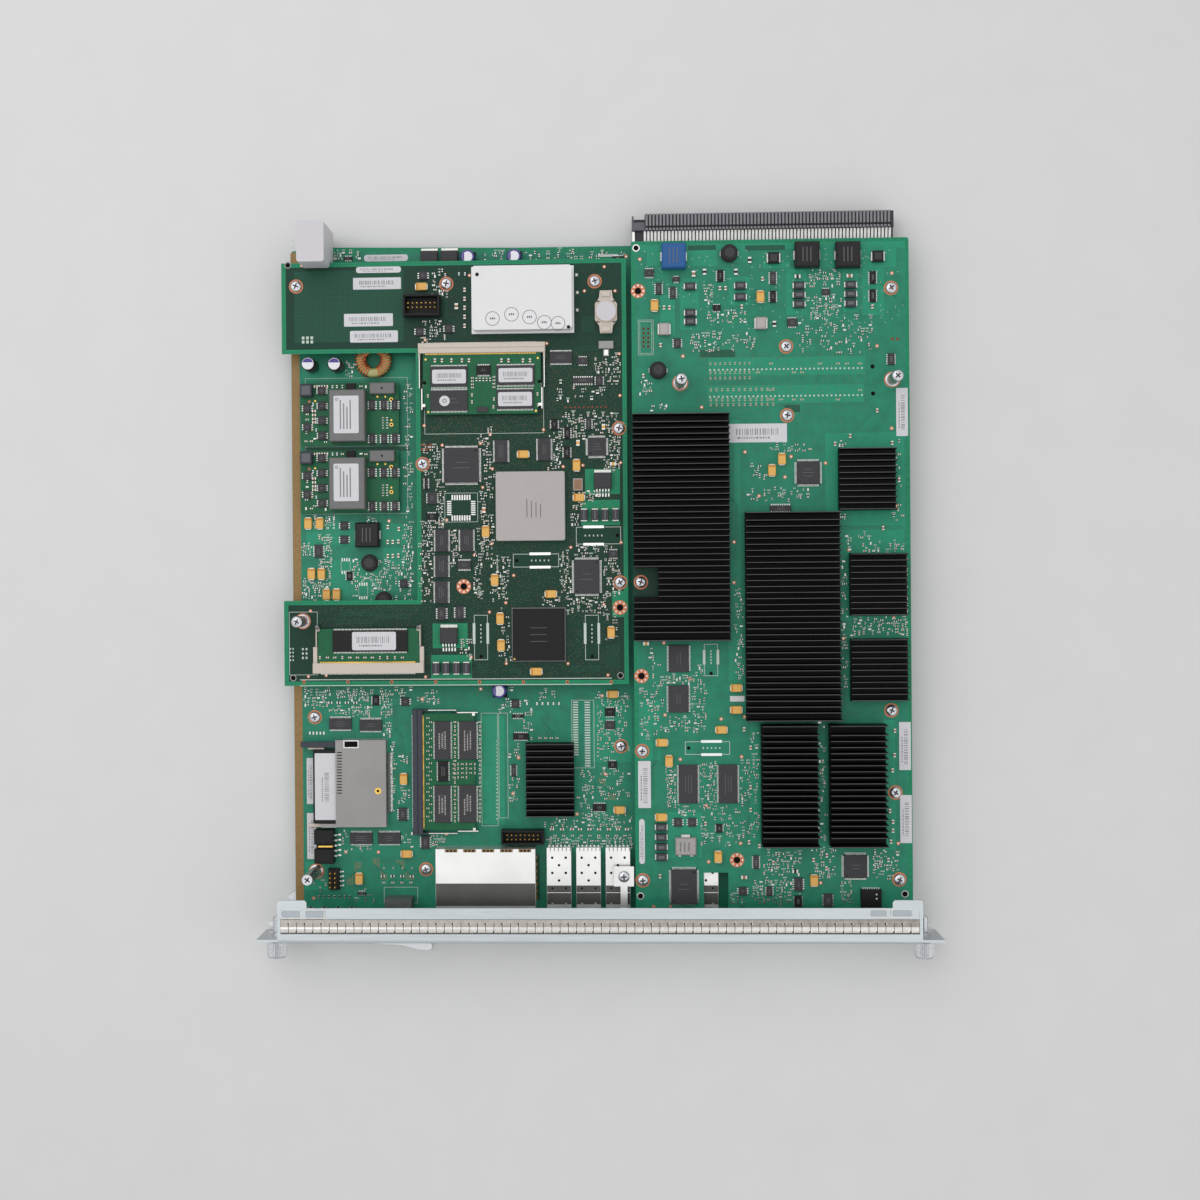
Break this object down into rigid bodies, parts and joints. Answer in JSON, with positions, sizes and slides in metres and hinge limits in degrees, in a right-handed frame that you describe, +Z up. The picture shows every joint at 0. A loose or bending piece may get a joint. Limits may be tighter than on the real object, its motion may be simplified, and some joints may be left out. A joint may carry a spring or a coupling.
{
  "type": "supervisor module",
  "caption": "Plug-in controller card for a rack chassis: stacked circuit boards behind a flanged steel panel with ejector levers, thumbscrews and card slots.",
  "frame": {"origin": "centre of the underside, in the plane that the card rests on", "axes": "+Y towards the backplane connector, -Y out of the front panel, +Z up from the boards"},
  "size_m": [0.3886, 0.4264, 0.0406],
  "materials": {
    "panel_steel": "bright plated sheet",
    "gasket_metal": "springy plated strip",
    "lever_metal": "satin",
    "screw_metal": "bright, knurled",
    "carrier_steel": "plain plated sheet",
    "base_green": "solder resist, satin",
    "routing_green": "solder resist, satin",
    "forwarding_green": "solder resist, satin",
    "module_green": "solder resist with black chips",
    "chip_black": "moulded epoxy",
    "sink_black": "black anodised",
    "tantalum_yellow": "moulded",
    "moulded_grey": "moulded",
    "sleeve_dark": "shrunk sleeve",
    "coil_dark": "ferrite",
    "copper_wire": "enamelled",
    "core_green": "coated ferrite",
    "ivory_plastic": "moulded",
    "white_plastic": "moulded",
    "grey_plastic": "moulded",
    "black_plastic": "moulded",
    "contact_metal": "gold flash",
    "cage_steel": "plated sheet",
    "latch_steel": "spring sheet",
    "standoff_metal": "plated"
  },
  "bodies": {
    "chassis": {"backplane_connector": "grey_plastic", "backplane_contacts": "contact_metal", "base_board": "base_green", "base_chips": "chip_black", "battery_holder": "ivory_plastic", "board_connectors": "black_plastic", "board_screws": "screw_metal", "board_spacers": "standoff_metal", "card_slot_housing": "cage_steel", "carrier_plate": "carrier_steel", "choke_core": "core_green", "choke_winding": "copper_wire", "coils": "coil_dark", "coin_cell": "white_plastic", "console_jack": "black_plastic", "converter_boards": "module_green", "cover_standoffs": "standoff_metal", "electrolytic_capacitors": "sleeve_dark", "emi_gasket": "gasket_metal", "flash_socket": "cage_steel", "forwarding_board": "forwarding_green", "forwarding_chips": "chip_black", "front_panel": "panel_steel", "guide_block": "white_plastic", "left_heat_sink": "sink_black", "lever_pins": "screw_metal", "memory_module_1": "module_green", "memory_module_2": "module_green", "memory_module_3": "module_green", "memory_socket_1": "ivory_plastic", "memory_socket_2": "ivory_plastic", "memory_socket_3": "black_plastic", "middle_heat_sink": "sink_black", "moulded_capacitors": "moulded_grey", "power_box": "white_plastic", "routing_board": "routing_green", "routing_chips": "chip_black", "screw_ferrules": "screw_metal", "small_heat_sinks": "sink_black", "support_bracket": "cage_steel", "tantalum_capacitors": "tantalum_yellow", "transceiver_cage_1": "cage_steel", "transceiver_cage_2": "cage_steel", "transceiver_cage_3": "cage_steel", "transceiver_cage_4": "cage_steel"},
    "left_lever": {"left_ejector_lever": "lever_metal"},
    "right_lever": {"right_ejector_lever": "lever_metal"},
    "left_screw": {"left_captive_screw": "screw_metal"},
    "right_screw": {"right_captive_screw": "screw_metal"},
    "eject_bar": {"flash_eject_bar": "black_plastic"},
    "card": {"flash_card": "black_plastic"},
    "upper_button": {"upper_card_button": "black_plastic"},
    "lower_button": {"lower_card_button": "black_plastic"},
    "reset": {"reset_button": "black_plastic"},
    "left_latch_1_body": {"left_latch_1": "latch_steel"},
    "left_latch_2_body": {"left_latch_2": "latch_steel"},
    "left_latch_3_body": {"left_latch_3": "latch_steel"},
    "right_latch_1_body": {"right_latch_1": "latch_steel"},
    "right_latch_2_body": {"right_latch_2": "latch_steel"},
    "right_latch_3_body": {"right_latch_3": "latch_steel"}
  },
  "joints": [
    {"name": "left_lever_swing", "type": "hinge", "parent": "chassis", "child": "left_lever", "pos_m": [-0.1745, -0.18715, 0.00325], "axis": [0, 0, -1], "range_deg": [-4.4, 70]},
    {"name": "right_lever_swing", "type": "hinge", "parent": "chassis", "child": "right_lever", "pos_m": [0.1745, -0.18715, 0.00325], "axis": [0, 0, 1], "range_deg": [0, 74.4]},
    {"name": "left_screw_spin", "type": "hinge", "parent": "chassis", "child": "left_screw", "pos_m": [-0.1855, -0.20115, 0.02], "axis": [0, 1, 0], "continuous": true},
    {"name": "right_screw_spin", "type": "hinge", "parent": "chassis", "child": "right_screw", "pos_m": [0.1855, -0.20115, 0.02], "axis": [0, 1, 0], "continuous": true},
    {"name": "eject_push", "type": "slide", "parent": "chassis", "child": "eject_bar", "axis": [1, 0, 0], "range_m": [0, 0.004]},
    {"name": "card_slide", "type": "slide", "parent": "chassis", "child": "card", "axis": [1, 0, 0], "range_m": [-0.004, 0]},
    {"name": "upper_button_press", "type": "slide", "parent": "chassis", "child": "upper_button", "axis": [0, 1, 0], "range_m": [0, 0.002], "stiffness_N_per_m": 300},
    {"name": "lower_button_press", "type": "slide", "parent": "chassis", "child": "lower_button", "axis": [0, 1, 0], "range_m": [0, 0.002], "stiffness_N_per_m": 300},
    {"name": "reset_press", "type": "slide", "parent": "chassis", "child": "reset", "axis": [0, 1, 0], "range_m": [0, 0.0008], "stiffness_N_per_m": 400},
    {"name": "right_latch_1_spread", "type": "hinge", "parent": "chassis", "child": "right_latch_1_body", "pos_m": [-0.02972, 0.11364, 0.022], "axis": [0, 0, 1], "range_deg": [0, 10], "stiffness_Nm_per_rad": 0.05},
    {"name": "left_latch_1_spread", "type": "hinge", "parent": "chassis", "child": "left_latch_1_body", "pos_m": [-0.09852, 0.11364, 0.022], "axis": [0, 0, -1], "range_deg": [0, 10], "stiffness_Nm_per_rad": 0.05},
    {"name": "right_latch_2_spread", "type": "hinge", "parent": "chassis", "child": "right_latch_2_body", "pos_m": [-0.16055, -0.03361, 0.022], "axis": [0, 0, 1], "range_deg": [0, 10], "stiffness_Nm_per_rad": 0.05},
    {"name": "left_latch_2_spread", "type": "hinge", "parent": "chassis", "child": "left_latch_2_body", "pos_m": [-0.10075, -0.03361, 0.022], "axis": [0, 0, -1], "range_deg": [0, 10], "stiffness_Nm_per_rad": 0.05},
    {"name": "right_latch_3_spread", "type": "hinge", "parent": "chassis", "child": "right_latch_3_body", "pos_m": [-0.08097, -0.07279, 0.0098], "axis": [0, 0, 1], "range_deg": [0, 10], "stiffness_Nm_per_rad": 0.05},
    {"name": "left_latch_3_spread", "type": "hinge", "parent": "chassis", "child": "left_latch_3_body", "pos_m": [-0.08097, -0.14159, 0.0098], "axis": [0, 0, -1], "range_deg": [0, 10], "stiffness_Nm_per_rad": 0.05}
  ],
  "couplings": [
    {"joint": "card_slide", "follows": "eject_push", "ratio": -1}
  ]
}
